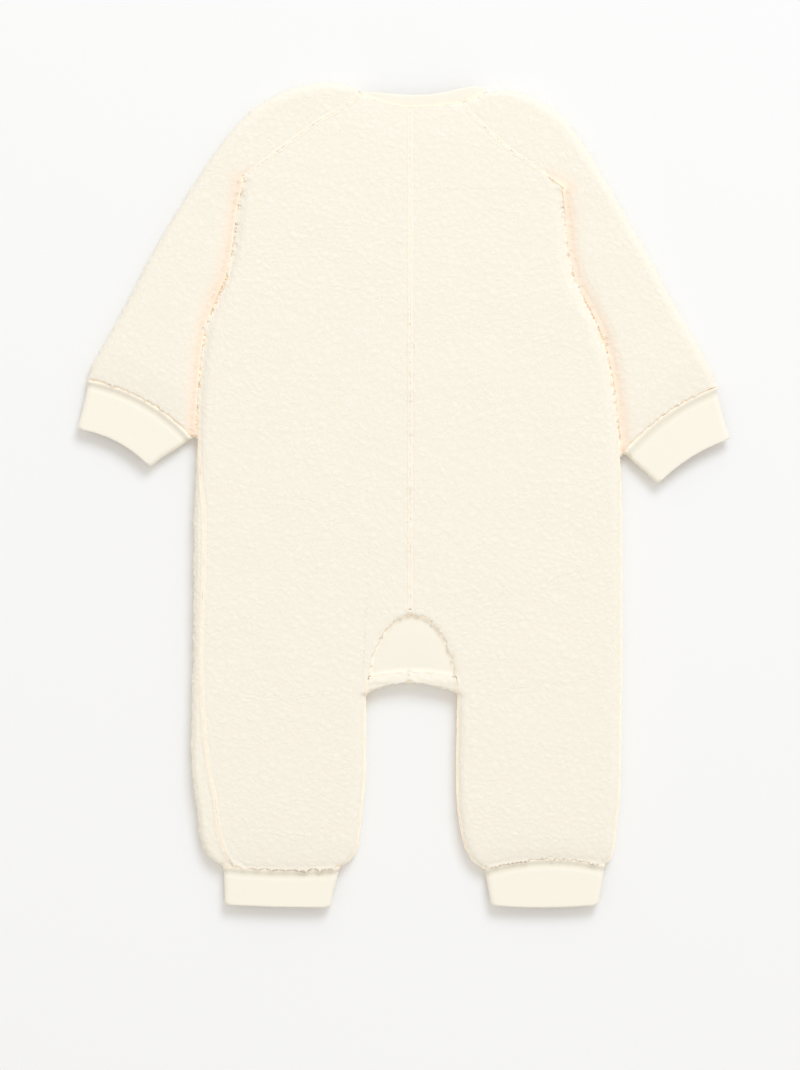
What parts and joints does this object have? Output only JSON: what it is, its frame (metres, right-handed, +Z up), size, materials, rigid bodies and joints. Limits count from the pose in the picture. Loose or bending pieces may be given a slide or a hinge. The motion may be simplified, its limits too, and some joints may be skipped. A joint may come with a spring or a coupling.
{
  "type": "fleece sleepsuit",
  "caption": "Baby's long-sleeved fleece sleepsuit without feet, laid flat on its front with its raglan back, jersey cuffs, neckband and crotch gusset showing",
  "frame": {"origin": "middle of the laid-out garment's outline, on the surface it lies on", "axes": "+Y towards the neck along the body, +X towards the wearer's right arm as the back is seen, +Z up, out of the garment's back"},
  "size_m": [0.425, 0.5362, 0.014],
  "materials": {
    "fleece": "cream long-pile fleece in soft curls",
    "jersey": "smooth cream cotton jersey, fine knit",
    "popper": "cream moulded press stud, satin"
  },
  "bodies": {
    "root": {"back_left": "fleece", "back_right": "fleece", "front_left": "fleece", "front_right": "fleece", "sleeve_left": "fleece", "sleeve_right": "fleece", "gusset": "jersey", "neckband": "jersey", "cuff_wrist_left": "jersey", "cuff_wrist_right": "jersey", "cuff_ankle_left": "jersey", "cuff_ankle_right": "jersey", "placket": "jersey", "popper_1": "popper", "popper_2": "popper", "popper_3": "popper", "popper_4": "popper", "popper_5": "popper", "popper_6": "popper", "popper_7": "popper"}
  },
  "joints": []
}
